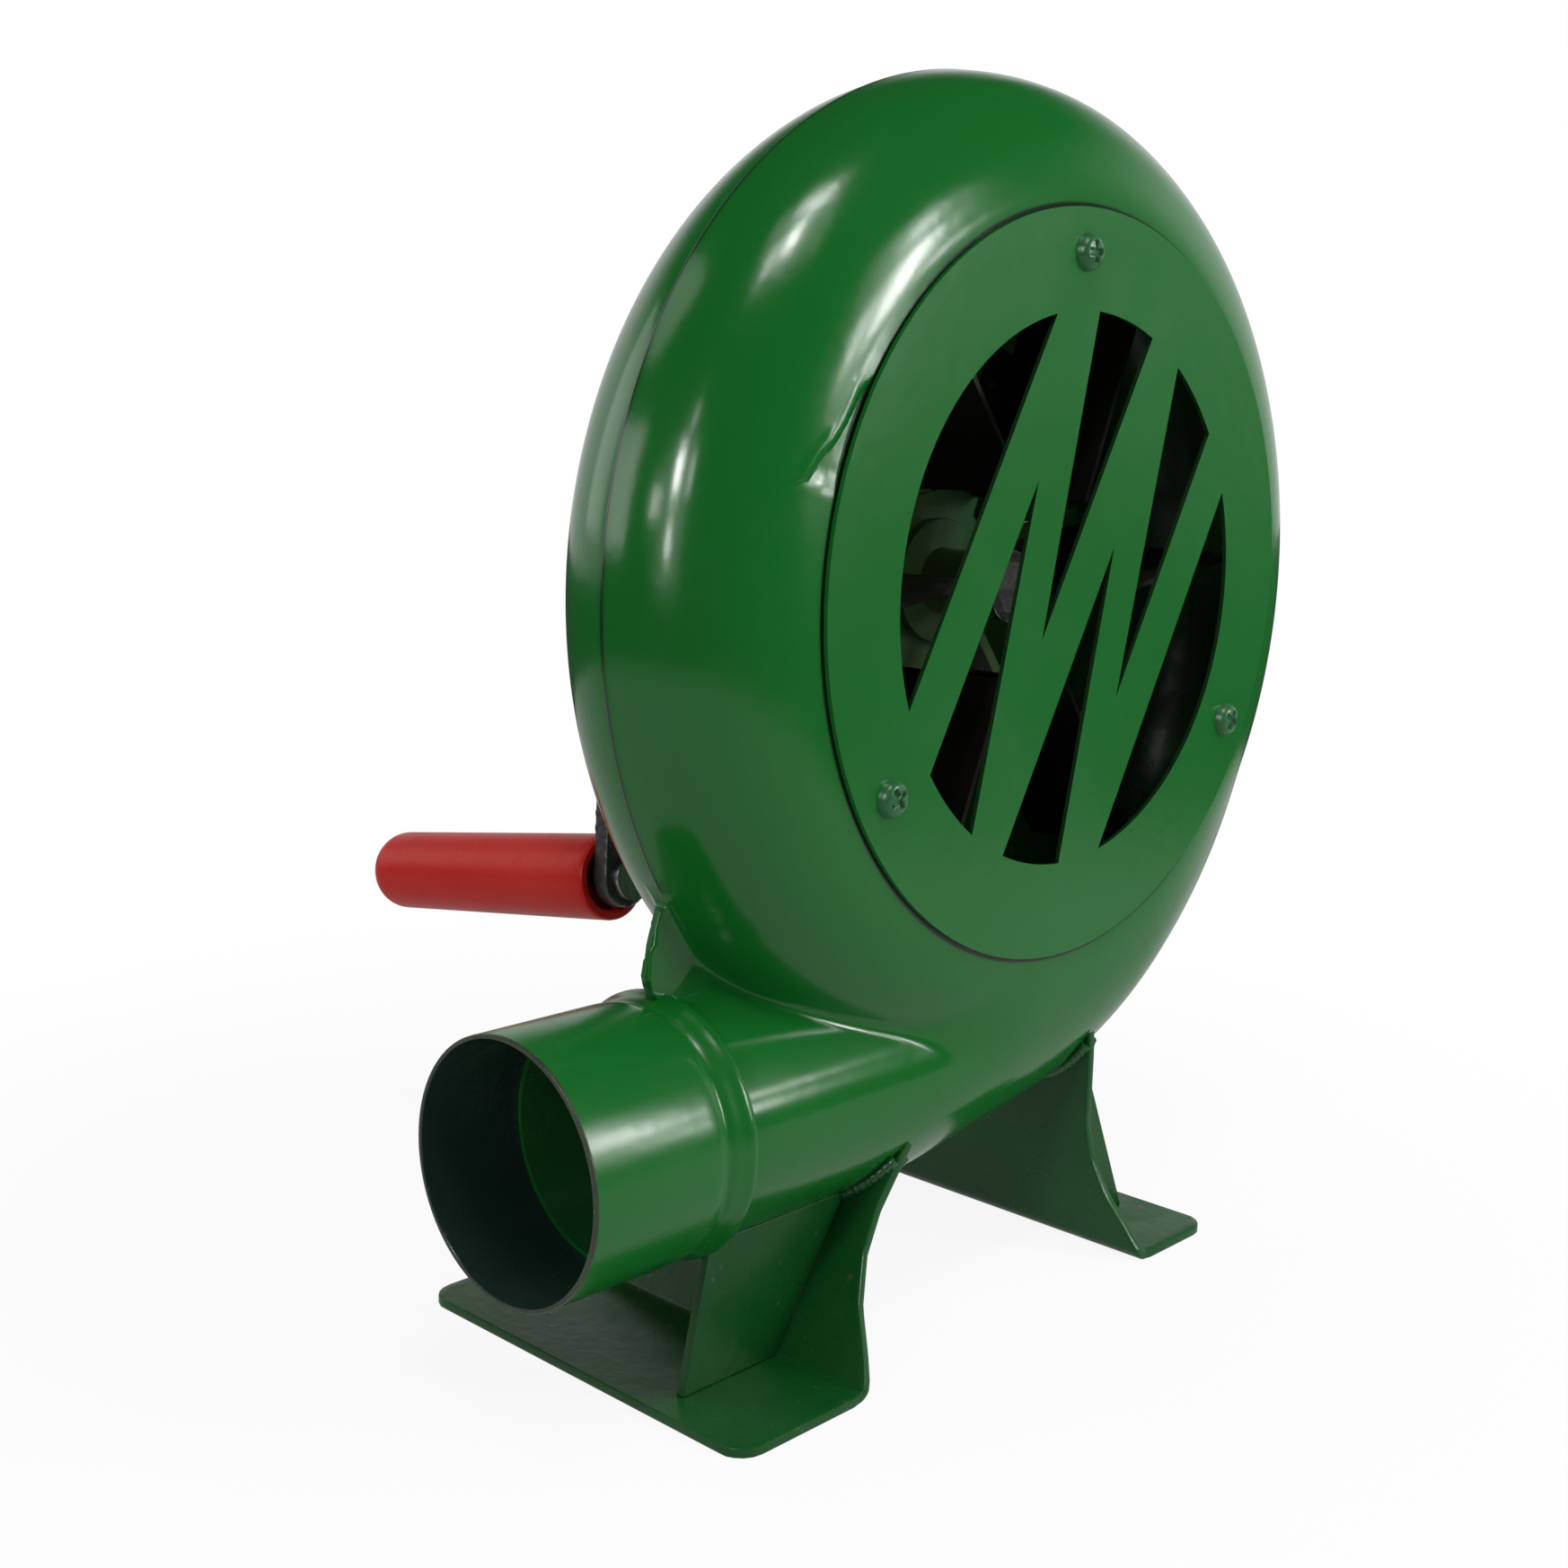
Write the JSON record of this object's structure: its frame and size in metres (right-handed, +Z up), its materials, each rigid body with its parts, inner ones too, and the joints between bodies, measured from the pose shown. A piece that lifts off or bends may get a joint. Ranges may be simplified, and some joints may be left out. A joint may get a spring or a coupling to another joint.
{
  "type": "hand crank blower",
  "caption": "Sheet steel volute blower on two bent feet, with a guarded round inlet, a tube outlet and a geared hand crank that spins its paddle impeller.",
  "frame": {"origin": "middle of the bounding box, at the floor", "axes": "+Z up, -X out of the outlet tube, -Y out of the inlet, +Y towards the crank's grip"},
  "size_m": [0.2886, 0.246, 0.322],
  "materials": {
    "green_paint": "glossy",
    "black_paint": "semi-gloss",
    "red_plastic": "satin",
    "zinc": "zinc plated",
    "steel": "turned",
    "fan_sheet": "rolled sheet",
    "gear_iron": "machined and oiled",
    "bronze": "sintered"
  },
  "bodies": {
    "stand": {"front_shell": "green_paint", "back_shell": "green_paint", "outlet_tube": "green_paint", "inlet_plate": "green_paint", "plate_screws": "green_paint", "plate_nuts": "zinc", "front_foot": "green_paint", "rear_foot": "green_paint", "front_gusset": "green_paint", "rear_gusset": "green_paint", "gear_case": "green_paint", "gear_cover": "green_paint", "case_bolts": "zinc", "case_nuts": "zinc", "shaft_bushes": "bronze", "inner_bush": "bronze", "outer_bush": "bronze", "idler_stud": "steel", "idler_nut": "zinc", "idler_clip": "steel"},
    "idler": {"idler_wheel": "steel", "idler_pinion": "steel"},
    "impeller": {"impeller_spider": "fan_sheet", "paddles": "fan_sheet", "paddle_rivets": "steel", "impeller_hub": "steel", "impeller_washer": "zinc", "impeller_nut": "zinc", "impeller_shaft": "steel", "impeller_pinion": "steel"},
    "crank": {"crank_gear": "gear_iron", "gear_pin": "steel", "crank_shaft": "steel", "thrust_washer": "zinc", "crank_arm": "black_paint", "crank_nut": "zinc", "grip_pin": "steel", "pin_clip": "steel"},
    "hand_grip": {"grip": "red_plastic"}
  },
  "joints": [
    {"name": "crank_turn", "type": "hinge", "parent": "stand", "child": "crank", "pos_m": [-0.01146, -0.07929, 0.191], "axis": [0, 1, 0], "continuous": true},
    {"name": "idler_turn", "type": "hinge", "parent": "stand", "child": "idler", "pos_m": [0.03723, -0.07929, 0.19642], "axis": [0, 1, 0], "continuous": true},
    {"name": "impeller_turn", "type": "hinge", "parent": "stand", "child": "impeller", "pos_m": [0.0155, -0.07929, 0.191], "axis": [0, 1, 0], "continuous": true},
    {"name": "grip_spin", "type": "hinge", "parent": "crank", "child": "hand_grip", "pos_m": [-0.02747, 0.01033, 0.10022], "axis": [-0.0257, 0.989, -0.1456], "continuous": true}
  ],
  "couplings": [
    {"joint": "idler_turn", "follows": "crank_turn", "ratio": -6},
    {"joint": "impeller_turn", "follows": "crank_turn", "ratio": 18}
  ]
}
